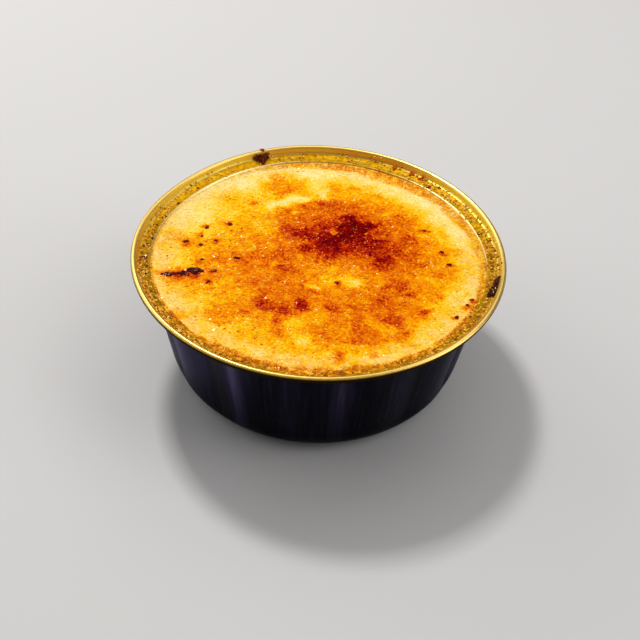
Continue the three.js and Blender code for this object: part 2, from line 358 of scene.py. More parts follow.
def waves(x, y, size):
    """Smooth noise from -1 to 1 with features of that size: lattice heights blended between their points."""
    x, y = x / size, y / size
    column, row = np.floor(x), np.floor(y)
    u, v = smoothstep(x - column, 0, 1), smoothstep(y - row, 0, 1)
    near = lattice(column, row) * (1 - u) + lattice(column + 1, row) * u
    far = lattice(column, row + 1) * (1 - u) + lattice(column + 1, row + 1) * u
    return near * (1 - v) + far * v


ahead = np.gradient(middle_line, axis=0)
ahead /= np.linalg.norm(ahead, axis=1, keepdims=True)
to_food = np.stack([-ahead[:, 1], ahead[:, 0]], -1)
food_side = middle_line + half * to_food
table_side = middle_line - half * to_food
roll_end = middle_line[-1:] + 0.8 * half * ahead[-1:]
section = np.vstack([table_side, roll_end, food_side[::-1]])
section[[0, -1], 0] = 0
turns = np.linspace(0, 2 * np.pi, COLUMNS, endpoint=False) + math.radians(FIRST_CREASE)


def carried_round(section, turns):
    """A section carried round the axis, as a grid. Each point is its radius, squeezed and pulled in by the
    flutes, times the direction of its column."""
    radius, height = section[:, :1], section[:, 1:]
    radius = radius * (1 - squeeze(turns, height)) - flute_inset(turns, height)
    return np.stack([radius * np.sin(turns), -radius * np.cos(turns), height + 0 * radius], -1)


def fan(ring, middle):
    """Triangles from each stretch of a closed ring of point numbers to a point in its middle."""
    return np.stack([ring, np.roll(ring, -1), np.full(len(ring), middle)], -1)


# The two ends of the section are single points on the axis, so a fan closes each end of the grid.
grid = carried_round(section[1:-1], turns)
numbers = np.arange(grid[..., 0].size).reshape(grid.shape[:2])
cup_points = np.vstack([grid.reshape(-1, 3), [[0, 0, section[0, 1]], [0, 0, section[-1, 1]]]])
start_fan = fan(numbers[0], numbers.size)[:, [2, 1, 0]]
cup_faces = [grid_faces(numbers, wrap=True), start_fan, fan(numbers[-1], numbers.size + 1)]
print("cup points", len(cup_points))

# %% [markdown]
# ## Lacquered foil
# Both lacquers are clear coloured films on bright metal, so both are metallic with a coat. The gold side
# isn't the same all over. On the ledge a film of caramel and grease makes it matt, and it is browner in some
# directions than in others and near the lip, partly from the film and partly from painted shade. The lip has a
# painted highlight: paler and glossier, more so in some directions. The flank of the bead has a painted
# reflection, pale gold in some directions and orange in others, as if it mirrored the room and the crust. The
# underside of the roll has painted shade, dark and rough, and the front of the roll has painted shade and haze
# that dim it. Each of these is a number on the cup's points, from 0 to 1, that the material reads by its name.
#
# The dark side shows fine upright draw lines from the press: noise on the direction from the axis, stretched
# along the height, so that the lines follow the wall all round without a seam. The broad upright bands between
# them are painted sheen: a lighter colour from a table of angles, weaker towards the foot.

# %% The two lacquers
gold = Paint("gold_lacquer", {
    "Coat Roughness": 0.25, "Coat IOR": 1.8, "Specular IOR Level": 0.0, "Specular Tint": tint(240, 206, 130),
})
where = gold.places()
smear = gold.noise(where, 1.1, 4.0)
clean_gold = gold.mix(gold.noise(where, 2.2, 2.0), tint(250, 204, 84), tint(255, 216, 104))
# Painted highlight on the lip: a pale cream gold, stronger in some directions than in others.
highlit_gold = gold.mix(gold.value("rubbed"), clean_gold, tint(255, 238, 178))
streaks = smear.rises(0.3, 0.7)
amber = gold.mix(streaks, tint(216, 148, 4), tint(252, 196, 20))
# Caramel film with painted shade: the ledge goes from clean amber towards dark caramel, darker in some
# directions and near the lip.
caramel = gold.mix(streaks, tint(122, 96, 8), tint(196, 146, 22))
filmed_and_shaded = gold.mix(gold.value("film"), amber, caramel)
# Matt film on the ledge, the flank and the lip, and painted shade and haze on the front of the roll; the lip's
# painted highlight takes some of it away.
matt = gold.value("matt")
dulled = gold.value("dulled")
# Painted reflection on the flank of the bead: orange where it would mirror the crust, pale gold where it would
# mirror the room.
flank_gold = gold.mix(gold.value("lit"), tint(208, 124, 2), tint(255, 238, 96))
bare = gold.mix(gold.value("flank"), gold.mix(matt, highlit_gold, filmed_and_shaded), flank_gold)
# Painted shade under the roll: a dark brown colour there, rougher and without coat.
gold_lacquer = gold.finish({
    "Base Color": gold.mix(dulled, bare, tint(40, 28, 8)),
    "Metallic": 1 - 0.7 * matt,
    "Roughness": 0.33 + 0.14 * matt + 0.1 * dulled,
    "Coat Weight": (1 - matt) * (1 - dulled),
    "Normal": gold.bump(smear, 0.01),
})

navy = Paint("dark_blue_lacquer", {
    "Specular IOR Level": 0.1, "Metallic": 0.7, "Specular Tint": tint(120, 120, 160), "Coat Weight": 0.04,
    "Coat Roughness": 0.16,
})
where = navy.places()
outward = navy.vector("NORMALIZE", navy.vector("MULTIPLY", where, (1, 1, 0)))
slow_rise = navy.vector("MULTIPLY", where, (0, 0, 0.05))
wall_radius = (0.04, 0.04, 0.04)
draw_lines = navy.noise(navy.vector("MULTIPLY_ADD", outward, wall_radius, slow_rise), 0.9, 3.0, 0.6)
# Painted sheen: the bands of lighter colour from the table, broken up by the draw lines.
sheen = navy.value("sheen") * (0.4 + 1.2 * draw_lines)
navy_lacquer = navy.finish({
    "Base Color": navy.mix(sheen + 0.12 * draw_lines.rises(0.4, 0.8), tint(7, 5, 15), tint(94, 86, 114)),
    "Roughness": 0.26 + 0.1 * draw_lines,
    "Normal": navy.bump(draw_lines, 0.03),
})

# %% How the lacquer varies round the cup
# The caramel film on the ledge with painted shade, by angle: darkest at the front, palest at the back on the
# left.
FILM_AND_SHADE = {
    -180: 0.3, -150: 0.1, -120: 0.05, -105: 0.4, -90: 0.75, -75: 1.0, 75: 0.95, 90: 0.9, 105: 0.75, 135: 0.7,
    150: 0.6, 165: 0.5, 180: 0.3,
}
# How strong the lip's painted highlight is, by angle.
LIP_HIGHLIGHTS = {
    -180: 0.25, -165: 0.75, -150: 0.9, -130: 1.0, -105: 0.65, -90: 0.4, -75: 0.0, 65: 0.0, 80: 0.15, 90: 0.5,
    105: 0.7, 120: 0.7, 140: 0.5, 150: 0.2, 180: 0.25,
}
# The painted reflection on the flank, by angle: 0 is orange, 1 is pale gold.
LIT = {
    -180: 0.5, -165: 0.42, -150: 0.8, -115: 0.8, -95: 0.65, -80: 0.2, 80: 0.5, 92: 0.95, 105: 1.0, 125: 1.0,
    138: 0.85, 150: 0.4, 168: 0.42, 180: 0.5,
}
# The painted sheen on the dark wall, by angle.
SHEEN = {
    -180: 0.3, -140: 0.15, -100: 0.4, -70: 0.5, -58: 0.55, -50: 0.7, -43: 0.4, -37: 0.1, -31: 0.3, -28: 1.0,
    -24: 0.12, -18: 0.02, -9: 0.12, -3: 0.02, 3: 0.03, 8: 0.35, 12: 0.02, 21: 0.04, 28: 0.22, 34: 0.06,
    42: 0.14, 50: 0.3, 60: 0.1, 100: 0.35, 140: 0.15, 180: 0.3,
}
# Painted shade and haze on the front of the roll, by angle: the colour goes towards the ledge's darker film
# colour, with less metal and coat.
HAZE_AND_SHADE = {-70: 0, -45: 0.3, -12: 0.45, 12: 0.45, 40: 0}
LEDGE_FROM, LEDGE_TO, FLANK_TO = (0.2, 0.5), (2.2, 2.5), (2.9, 3.1)


def by_angle(table, angle):
    """A number blended between those that a table gives for a few angles. Angles are in degrees, counted from
    the front, and grow towards the right."""
    return np.interp(angle, list(table), list(table.values()))


cup_turn, cup_z = np.arctan2(cup_points[:, 0], -cup_points[:, 1]), cup_points[:, 2]
cup_angle = np.degrees(cup_turn)
cup_radius = np.hypot(cup_points[:, 0], cup_points[:, 1]) / (1 - squeeze(cup_turn, cup_z))
past_lip = cup_radius - LEDGE_INNER_RADIUS
on_ledge = smoothstep(past_lip, *LEDGE_FROM) * (1 - smoothstep(past_lip, *LEDGE_TO))
on_flank = smoothstep(past_lip, *LEDGE_TO) * (1 - smoothstep(past_lip, *FLANK_TO))
on_lip = smoothstep(cup_z, LIP_HEIGHT - 0.6, LIP_HEIGHT - 0.3) * (1 - smoothstep(past_lip, *LEDGE_FROM))
on_roll = cup_radius > bead_centre[0]
rubbed = on_lip * by_angle(LIP_HIGHLIGHTS, cup_angle)
roll_lean = np.degrees(np.arctan2(cup_radius - bead_centre[0], cup_z - bead_centre[1]))
# Where the painted shade under the roll begins, as a lean of the roll: earlier at the front than at the sides.
shade_from = by_angle({20: 42, 45: 54}, np.abs(cup_angle))
# The ledge's browning carries painted shade, the lip a painted highlight, the flank a painted reflection, the
# dark wall painted sheen, and the roll painted shade under it and at its front.
lacquer_values = {
    "film": by_angle(FILM_AND_SHADE, cup_angle) + 0.4 * (1 - smoothstep(past_lip, 0.4, 1.6)),
    "matt": on_ledge + 0.7 * on_flank + on_lip - rubbed + on_roll * by_angle(HAZE_AND_SHADE, cup_angle),
    "rubbed": rubbed,
    "flank": on_flank,
    "lit": by_angle(LIT, cup_angle),
    "sheen": by_angle(SHEEN, cup_angle) * (0.3 + 0.7 * smoothstep(cup_z, 4, 24)),
    "dulled": on_roll * smoothstep(roll_lean, shade_from, shade_from + 16),
}
print("values on the cup's points:", {label: round(float(v.max()), 2) for label, v in lacquer_values.items()})

# %% The cup's piece
# A face wears the dark lacquer (1) on the table's side of the sheet and the gold (0) on the food's side. The
# last two numbers are for the fans in the middle, under and over the base.
wall_rows = np.arange(len(section) - 3) < len(table_side) - 1
wears = np.repeat(np.concatenate([wall_rows, [True, False]]), COLUMNS)
make_piece(
    "foil_cup_shell", cup_points, cup_faces, [gold_lacquer, navy_lacquer], "foil_lacquer",
    replaces="foil_cup", wears=wears, **lacquer_values,
)

# %% [markdown]
# ## Where the torch went
# A torch melts the sugar and browns it in blotches: darkest where the flame stood still, pale where it
# missed, and ragged everywhere, because grains brown one by one. The whole crust follows one number, the
# scorch, from 0 for bare cream to 1 for burnt sugar. It colours the crust, places the melted grains and
# raises the pools of caramel, so it is worked out once, here, as a function of the place.
#
# Each mark is an ellipse with a soft edge that pulls the scorch towards its own tone. They are laid one over
# the other, large ones first, on a place that is first pushed about by noise, which is what makes the edges
# ragged.

# %% The torch's marks
# Each mark is (x, y, half width, half length, tone), in millimetres, with the tone from 0 to 1. A speck is
# (x, y, width).
GOLDEN_FIELD = [
    (0, -2, 29, 27, 0.39), (9, 2, 20, 19, 0.48), (-15, 14, 12, 7, 0.32), (-23, 0, 10, 7, 0.38),
    (5, 28, 9, 5, 0.32), (-9, 28.5, 9, 6, 0.34), (-4, -30, 14, 5, 0.37), (-30, -10, 7, 4, 0.38),
]
PALE_RING = [
    (4, 35.5, 13, 2, 0.10), (15, 33, 8, 2.4, 0.09), (22, 29, 6, 2.6, 0.07), (27, 23.5, 4.5, 4.5, 0.04),
    (31.5, 16.5, 3.2, 5.5, 0.07), (34.5, 10, 2.8, 6, 0.08), (35, -2, 2.4, 7, 0.22), (33.5, -9.5, 3, 4, 0.20),
    (30.4, -13.6, 3.6, 3, 0.13), (28.5, -20, 4.5, 3.6, 0.22), (25, -24.5, 4.5, 3.2, 0.18),
    (22, -28.5, 3.4, 2.4, 0.22), (17, -32.8, 5, 1.8, 0.20), (6, -36.2, 9, 1.5, 0.27),
    (10, -32.5, 5, 1.1, 0.26), (-4, -36.2, 8, 1.5, 0.28), (-16, -32.8, 5, 1.8, 0.20),
    (-21, -28, 4.5, 2.6, 0.25), (-27, -24, 4, 3, 0.24), (-27, -17.4, 4, 2.6, 0.20),
    (-32, -15.5, 3, 3.4, 0.20), (-34.5, -3, 3, 3, 0.18), (-37, 2, 1.6, 5, 0.24), (-32, 14, 5, 6, 0.10),
    (-27, 21, 5, 4, 0.12), (-20, 29, 5, 4.5, 0.07), (-19, 34, 6, 2, 0.08), (-26, 28, 4, 3, 0.09),
]
BROWN_FIELD = [
    (6, 10, 15, 11, 0.63), (-2, 15, 7, 6, 0.60), (18, 8, 8, 9, 0.57), (20, -1, 8, 4, 0.59),
    (3, 1, 13, 4, 0.60), (-12, 4, 7, 5, 0.53), (-12, -2, 6, 4, 0.63), (4.4, 20.9, 8, 2.3, 0.64),
    (-4, 20, 4.4, 1.4, 0.62), (14, 17, 5, 4, 0.54), (17, -11, 7, 4, 0.60), (2, -15, 9, 3, 0.55),
    (15, -19, 9, 5, 0.56), (6, -24, 8, 5, 0.53), (-11, -18, 8, 3, 0.60), (-21, -21, 5, 3, 0.46),
    (-17, -8, 7, 5, 0.45), (-9, -8, 4, 6, 0.54), (-14, -12, 5, 3, 0.56), (-18, -2, 3.6, 3, 0.64),
    (-25, -2, 4, 2, 0.50), (-7, -13, 3, 2, 0.60), (-7, -7, 2.4, 2.4, 0.58), (-14, -23, 3, 2, 0.44),
    (17, -27.5, 3, 3, 0.50), (30, -6.5, 3, 4.6, 0.42), (31, 3, 3, 3, 0.42), (22, 5, 3, 3, 0.63),
    (8, -28, 7, 3, 0.50), (-35, 5, 3.4, 2.6, 0.32), (-30, -10, 5, 2, 0.52), (-28, -13.5, 5, 1.8, 0.34),
    (17, 13, 3, 3, 0.62), (-9, 9, 3, 3, 0.60), (26.6, -11.6, 2.2, 2.4, 0.42),
]
DARK_CARAMEL = [
    (5, 6, 8, 5, 0.88), (8, 8.5, 5.5, 5.5, 0.99), (3.5, 4.5, 5, 3, 0.97), (2, 2.6, 5, 1.8, 0.84),
    (8, 1.8, 4, 1.8, 0.78), (7, 14, 2.4, 3, 0.94), (10, 15, 2, 1.6, 0.80), (12.5, 12.4, 3, 1.4, 0.90),
    (9.5, 8.5, 3, 3, 0.94), (4.5, 5.4, 3, 1.5, 0.92), (3, 12, 2.4, 1.4, 0.76), (-2.5, 7.6, 4, 1.6, 0.79),
    (-5, 8.2, 2, 1.4, 0.83), (-7.2, 10.4, 1.5, 1.7, 0.81), (13.4, 5, 3.4, 2.8, 0.91),
    (17.5, 2.4, 2.6, 1.7, 0.80), (15, -1.6, 2.4, 2.8, 0.85), (12, 1, 3, 1.4, 0.78), (23, 4, 1.7, 1.7, 0.68),
    (13.2, -4.6, 2.6, 2, 0.73), (23, -2.5, 2.6, 1.4, 0.62), (-3.6, -17.6, 1.7, 1.9, 0.92),
    (-2.8, -13.2, 2.0, 3, 0.66), (-12.6, -16.6, 1.6, 1.7, 0.76), (-12, -19, 3.4, 1.6, 0.68),
    (-7.4, -20.2, 2.2, 1.7, 0.72), (-17, -21, 3, 1.4, 0.58), (-20, -23.6, 4, 1.2, 0.46),
    (-22.8, -15, 4, 1.5, 0.45), (-9, -24.5, 1.5, 3.4, 0.56), (-8, -3, 1.6, 4, 0.64),
    (2.5, -19.4, 1.7, 2, 0.68), (8, -18, 2, 1.4, 0.60), (14, -15.5, 1.3, 1.6, 0.62),
    (18, -11, 2.4, 1.4, 0.70), (20.6, -13.2, 1.4, 1.2, 0.70), (21.4, -5.6, 2.6, 1.7, 0.63),
    (21.6, -21.4, 3, 1.7, 0.53), (15.5, -21.3, 1.8, 1.8, 0.68), (17.5, -23.6, 1.8, 1.8, 0.70),
    (19, -26.2, 1.3, 1.1, 0.60), (22.6, -19, 1.5, 1.3, 0.64), (8.6, -26, 1.9, 1.8, 0.68),
    (8, -29.4, 2.2, 1.2, 0.60), (-1, -26.4, 3, 2, 0.53), (4.4, -34, 1.5, 1.9, 0.56),
    (4.6, -33.3, 0.9, 0.8, 0.66), (8, -33, 1.1, 0.8, 0.38), (12, -33, 1.1, 0.9, 0.42),
    (28.6, -5.6, 1, 1.2, 0.54), (26, -12, 1.4, 1.2, 0.48), (13.5, -28, 1.3, 1.4, 0.50),
    (-10.6, 31.6, 2.8, 1.6, 0.54), (-8, 26.6, 1.6, 1.3, 0.54), (-9, 29, 5, 3.6, 0.45),
    (-16.8, 21.4, 1.4, 1.4, 0.64), (-22.3, 22, 4.6, 3, 0.30), (15.4, 25, 2.2, 1.5, 0.44),
    (4, 25.5, 2, 2, 0.42), (-8, 18, 1.2, 1.4, 0.64), (9, 10, 3, 2, 0.98), (6, 3, 2.4, 2, 0.90),
    (-8, 9.6, 3, 2, 0.76), (2, 18.8, 4, 1.6, 0.67), (-14, 18, 1.8, 2, 0.38), (-30.5, -21.6, 2, 2, 0.36),
    (-7, -23, 1.6, 1.6, 0.54), (-19.6, 7, 1.4, 2, 0.48), (-17.2, -5.6, 1.2, 1.4, 0.66),
    (-24.6, 5.2, 1.4, 0.8, 0.60), (-25, -13.6, 0.9, 0.8, 0.54),
]
PALE_GAPS = [
    (-11.4, 19.4, 2.4, 2.4, 0.12), (-9.2, 20.6, 3.3, 2.1, 0.06), (-4.6, 23.4, 2.8, 1.4, 0.08),
    (1.2, 25.4, 1.7, 3, 0.08), (-1, 30, 2.2, 5, 0.14), (-14, 31, 2, 3.2, 0.14), (2.6, 22.8, 0.9, 1, 0.24),
    (10.4, 31, 2.4, 2, 0.15), (20, 26.4, 3, 2.4, 0.12), (21.5, 22.6, 2, 2, 0.22), (-23.4, 13, 2.4, 2, 0.22),
    (-16, 9, 3.4, 2.6, 0.33), (-6, 16.4, 0.8, 0.9, 0.22), (17, 18, 1, 0.7, 0.34), (-4, -3, 4, 1.4, 0.48),
    (2, -5.6, 4, 1.6, 0.38), (12, -8.6, 3, 1.6, 0.40), (5, -9.4, 5, 1.7, 0.24), (8, -10, 1.6, 1.1, 0.12),
    (1, -7, 2, 1, 0.32), (-1.6, -11.6, 1.4, 0.7, 0.20), (-4.6, -24.6, 1.9, 3.2, 0.24),
    (-3.6, -30, 2.4, 1.9, 0.20), (3.4, 9.4, 1.2, 1, 0.62), (-18.5, -17, 2.6, 1.6, 0.38),
    (24.5, -15.6, 2, 1.6, 0.38), (-17, -27, 3, 2, 0.28), (28.5, 9.6, 2.4, 2.4, 0.27),
    (-26.6, 6.2, 1.5, 1.7, 0.22), (-17.4, 3, 2, 1.5, 0.33), (-2.6, -2.7, 2.6, 1.3, 0.42),
    (5.2, -31.5, 2, 1.5, 0.30), (-3.2, 33.8, 3, 1.8, 0.05), (-6.2, 22, 2, 1.3, 0.08),
    (-9.6, 17.4, 1.5, 1.5, 0.36), (13, 15.2, 2.4, 1.5, 0.54), (15.4, 7.4, 2.4, 1.2, 0.64),
    (-2, 4, 1.7, 2, 0.68), (22.4, 24, 3, 2, 0.09), (-16.6, 1.6, 2.4, 1.5, 0.38), (-26, -6, 1.6, 1.6, 0.38),
    (12.8, 20.6, 2.5, 1.6, 0.40), (-10.2, -6.4, 1.6, 2.3, 0.43), (-9.8, -16.4, 2.2, 1.7, 0.50),
    (1.6, -21.8, 1.6, 1.8, 0.38),
]
BURNT_SPECKS = [
    (-32.2, 3.9, 1.3), (-27.7, 9.4, 1.1), (-22.1, 10.9, 1.1), (-28.4, 6.0, 0.9), (-25, 4.3, 1.0),
    (-28.5, 2.5, 1.2), (-19.5, -2, 1.2), (-27.4, -3.1, 1.3), (-24.2, -7.1, 1.3), (-25.3, -10.9, 1.2),
    (26.2, 10.8, 1.1), (29.8, 2.1, 1.3), (31.2, -2.4, 1.2), (34.9, -14.8, 1), (33.8, -16.4, 1),
    (30.7, -21, 1.2), (33.6, -20.9, 0.8), (4.2, -10.1, 1.2),
]
SPECK_HALOS = [(x - 0.1, y - 0.3, 0.9 * width, 0.7 * width, 0.68) for x, y, width in BURNT_SPECKS]
STREAK_HALO = [
    (-30, -8.6, 6, 2, 0.44), (-30.6, -9.1, 4.6, 1.2, 0.66), (-28.6, -9.2, 2.4, 1.2, 0.74),
    (-32, -8, 4.6, 0.9, 0.80), (-28.8, -8, 2, 1.4, 0.84), (-32.4, 4.4, 3, 1.8, 0.44),
    (-29, 2.4, 2.2, 1.2, 0.44), (-32.4, -6.2, 2.6, 1.2, 0.52),
]
TORCH_MARKS = [*GOLDEN_FIELD, *PALE_RING, *BROWN_FIELD, *DARK_CARAMEL, *PALE_GAPS, *SPECK_HALOS, *STREAK_HALO]
EDGE = LEDGE_INNER_RADIUS
print("marks of the torch:", len(TORCH_MARKS))

# %% [markdown]
# The sugar against the foil is a ring of its own. It is broad and brown at the back on the right, narrow on
# the left and nearly bare at the back on the left, so its width and its tone are given for a few angles and
# blended between them.

# %% The scorch as a function of the place
FRINGE_ANGLES = [
    -180, -165, -150, -135, -90, -75, -60, -45, -30, -15, 0, 15, 30, 45, 60, 75, 90, 105, 120, 135, 150, 165,
    180,
]
FRINGE_WIDTHS = dict(zip(FRINGE_ANGLES, [
    2.8, 1.5, 0.5, 0.1, 0.3, 0.4, 0.6, 1.1, 2.5, 2.5, 2.3, 2.1, 1.7, 1.4, 1.5, 1.6, 1.9, 2.3, 2.8, 3.3, 3.9,
    3.5, 2.8,
]))
FRINGE_TONES = dict(zip(FRINGE_ANGLES, [
    0.44, 0.34, 0.26, 0.20, 0.36, 0.48, 0.58, 0.66, 0.71, 0.69, 0.65, 0.67, 0.65, 0.62, 0.55, 0.49, 0.42,
    0.42, 0.44, 0.48, 0.50, 0.50, 0.48,
]))
BROWNING = {-180: 0.15, -120: 0.5, -60: 0.9, -30: 1.0, 40: 0.9, 80: 0.7, 120: 0.35, 150: 0.15, 180: 0.15}


def fractal(x, y, size, octaves=3):
    """Noise from about -1 to 1: waves of that size, and of half, a quarter and so on, each half as strong and
    each turned by two thirds of a radian, so that no direction of their lattices shows."""
    total = 0
    for octave in range(octaves):
        c, s = math.cos(0.67 * (octave + 1)), math.sin(0.67 * (octave + 1))
        total = total + waves(c * x - s * y + 37 * octave, s * x + c * y, size / 2**octave) / 2**octave
    return total / 1.4


def edge_at(x, y):
    """How far from the axis the cup's inner wall is, in the direction of a place."""
    return EDGE * (1 - squeeze(np.arctan2(x, -y), CUP_HEIGHT))


def fringe_at(x, y):
    """How much of the ring of browned sugar lies at a place, from 0 to 1."""
    edge, angle = edge_at(x, y), np.degrees(np.arctan2(x, -y))
    width = by_angle(FRINGE_WIDTHS, angle) * (1 + 0.3 * fractal(x, y, 2.2))
    ring = smoothstep(edge - np.hypot(x, y), 0.1 + 1.1 * width, 0.6 * width)
    return ring * np.clip(0.8 + 0.7 * fractal(x + 50, y, 1.1, 2), 0, 1)


def browned_at(x, y):
    """How much of the sugar at a place is of the dull brown kind that bakes on foil."""
    return fringe_at(x, y) * by_angle(BROWNING, np.degrees(np.arctan2(x, -y)))


def scorch_at(x, y):
    """The scorch at a place, from 0 to 1: every mark pulls it towards its own tone by a soft-edged ellipse,
    exp(-0.9 * away^1.4), where away is 1 on the mark's outline. The place is first pushed about by up to a
    millimetre or two, and blotches are added last, stronger where the sugar is brown."""
    u, v = x + 1.5 * fractal(x, y + 90, 4.0), y + 1.5 * fractal(x + 90, y, 4.0)
    scorch = 0.09 + 0.03 * fractal(x, y, 9.0)
    for mark_x, mark_y, half_x, half_y, tone in TORCH_MARKS:
        away = ((u - mark_x) / half_x) ** 2 + ((v - mark_y) / half_y) ** 2
        scorch = scorch + (tone - scorch) * np.exp(-0.9 * away**1.4)
    blotches = 0.095 * fractal(x, y + 200, 2.6) + 0.08 * fractal(x + 200, y, 1.3, 2)
    scorch = scorch + blotches * (0.25 + 0.75 * smoothstep(scorch, 0.1, 0.5))
    tone = by_angle(FRINGE_TONES, np.degrees(np.arctan2(x, -y))) + 0.12 * fractal(x, y + 60, 1.8)
    return np.clip(scorch + (tone - scorch) * 0.85 * fringe_at(x, y), 0, 0.95)


probe = np.linspace(-EDGE, EDGE, 161)
probe_x, probe_y = np.meshgrid(probe, probe)
inside = np.hypot(probe_x, probe_y) < EDGE
print(f"mean scorch {scorch_at(probe_x, probe_y)[inside].mean():.2f}")

# %% [markdown]
# ## The custard
# The custard fills the cup, so its side is never seen, but its top is all that matters. A turned disc would
# crowd its points at the middle and starve the rim. A square grid bent into a disc stays even: each side of
# the square becomes a quarter of the circle. The relief is the same slow waves as the solid's, with the
# caramel pools raised, and sugar grains half sunk in it: a grain is a dome round the nearest of scattered
# points.

# %% The height of the crust
CUSTARD_LEVEL = 30.0
CRUST_WAVE = 0.2
CRUST_WAVELENGTH = 9.0
CRUST_RIPPLE = 0.1
CRUST_RIPPLE_LENGTH = 4.0
CRUST_RIPPLE_SHIFT = 40
FRINGE_WIDTH = 1.8
FRINGE_RISE = 0.4
CARAMEL_POOLS = [(7, 10, 8, 6, 0.35), (-5, 8.8, 5, 2.2, 0.2), (16, 3, 5, 3.5, 0.25), (17.5, -21.5, 5, 4, 0.15)]


def scattered(column, row, turn):
    """A fixed random number from 0 to 1 for each cell of a lattice."""
    return mixed(column * 269.5 + row * 183.3 + turn * 71.9)


def domes(x, y, size):
    """Rounded grains from 0 to 1: one point in each cell of a lattice, and a dome over the nearest of them."""
    column, row = np.floor(x / size), np.floor(y / size)
    nearest = np.full(np.shape(x), 9.0)
    for step_x in (-1, 0, 1):
        for step_y in (-1, 0, 1):
            cell_x, cell_y = column + step_x, row + step_y
            point_x = (cell_x + scattered(cell_x, cell_y, 1)) * size
            point_y = (cell_y + scattered(cell_x, cell_y, 2)) * size
            nearest = np.minimum(nearest, np.hypot(x - point_x, y - point_y) / size)
    return np.sqrt(np.clip(1 - (nearest / 0.75) ** 2, 0, 1))


def slow_height(x, y):
    """The crust's large shape: waves, ripples, caramel pools, and the fringe that climbs towards the cup."""
    height = CUSTARD_LEVEL + CRUST_WAVE * waves(x, y, CRUST_WAVELENGTH)
    shifted = x + CRUST_RIPPLE_SHIFT * CRUST_RIPPLE_LENGTH
    height = height + CRUST_RIPPLE * waves(shifted, y, CRUST_RIPPLE_LENGTH)
    for pool_x, pool_y, half_x, half_y, rise in CARAMEL_POOLS:
        height = height + rise * np.exp(-(((x - pool_x) / half_x) ** 2) - ((y - pool_y) / half_y) ** 2)
    return height + FRINGE_RISE * smoothstep(edge_at(x, y) - np.hypot(x, y), FRINGE_WIDTH, 0)


def crust_height(x, y, scorch):
    """The whole relief: the large shape, with grains that stand out more where the sugar has melted."""
    grains = 0.02 + 0.10 * smoothstep(scorch, 0.35, 0.85)
    relief = grains * domes(x, y, 1.1) + 0.05 * fractal(x, y, 1.8, 2)
    calm = smoothstep(edge_at(x, y) - np.hypot(x, y), 0, 0.6)
    return slow_height(x, y) + relief * calm


# %% The custard's points
CELLS = 280
SINK = 0.1
side = np.linspace(-1, 1, CELLS + 1)
u, v = np.meshgrid(side, side)
disc_x, disc_y = u * np.sqrt(1 - v**2 / 2), v * np.sqrt(1 - u**2 / 2)
reach = edge_at(disc_x, disc_y) + SINK
top_x, top_y = reach * disc_x, reach * disc_y
scorch = scorch_at(top_x, top_y)
top = np.stack([top_x, top_y, crust_height(top_x, top_y, scorch)], -1).reshape(-1, 3)
number = np.arange(len(top)).reshape(CELLS + 1, CELLS + 1)
edge_walk = np.concatenate([number[0, :-1], number[:-1, -1], number[-1, :0:-1], number[:0:-1, 0]])
edge_turn = np.arctan2(top[edge_walk, 0], -top[edge_walk, 1])
fill = arc((corner_centre, CORNER_RADIUS), CORNER_RADIUS - FOIL + SINK, -math.degrees(taper), -90, 5)
wall_heights = np.array([29.2, 27.4, 18.0, 9.0])
wall_radii = WALL_FOOT_RADIUS + wall_heights * math.tan(taper) - (FOIL - SINK) / math.cos(taper)
skirt_section = np.vstack([np.stack([wall_radii, wall_heights], -1), fill])
skirt = carried_round(skirt_section, edge_turn).reshape(-1, 3)
rings = np.vstack([edge_walk, len(top) + np.arange(len(skirt)).reshape(-1, len(edge_walk))])
custard_points = np.vstack([top, skirt, [[0, 0, FOIL - SINK]]])
skirt_faces = grid_faces(rings, wrap=True)[:, [0, 3, 2, 1]]
bottom_fan = fan(rings[-1], len(custard_points) - 1)[:, [0, 2, 1]]
custard_faces = [grid_faces(number), skirt_faces, bottom_fan]
hidden = len(skirt) + 1
point_scorch = np.concatenate([scorch.ravel(), np.full(hidden, 0.1)])
point_browned = np.concatenate([browned_at(top_x, top_y).ravel(), np.zeros(hidden)])

# %% [markdown]
# ## The colour of scorched sugar
# Melted sugar goes from clear over cream through yellow and orange to a deep red-brown, and at last to black.
# The stops of one ramp say that, and every piece of sugar on the crust reads the same ramp, so a grain always
# fits the crust under it. Two more ramps stand beside it: near the wall bare cream shows in patches, paler
# and less yellow, and sugar baked on the foil goes through dull browns. Grains brown one by one, so noise of
# a grain's size, and slower noise, shift the scorch a little.

# %% One function for every sugar finish
SUGAR_TONES = [
    (0.00, 252, 238, 178), (0.10, 251, 221, 114), (0.20, 250, 204, 44), (0.28, 249, 189, 2),
    (0.36, 247, 167, 0), (0.46, 242, 140, 0), (0.57, 226, 106, 0), (0.68, 204, 70, 1), (0.78, 174, 22, 1),
    (0.87, 140, 0, 1), (0.95, 108, 0, 1), (1.00, 56, 0, 1),
]
CREAM_TONES = [
    (0.00, 252, 238, 188), (0.10, 251, 222, 140), (0.20, 250, 206, 108), (0.30, 248, 190, 76),
    (0.40, 244, 164, 36), (0.55, 228, 112, 4), (0.75, 184, 44, 2), (1.00, 80, 0, 2),
]
BROWN_TONES = [
    (0.00, 250, 214, 110), (0.25, 240, 184, 58), (0.45, 214, 144, 18), (0.60, 176, 110, 8),
    (0.75, 136, 78, 6), (0.90, 84, 28, 4), (1.00, 30, 6, 4),
]
CREAM_FROM, CREAM_TO = 32, 37  # millimetres from the axis between which bare cream begins to show


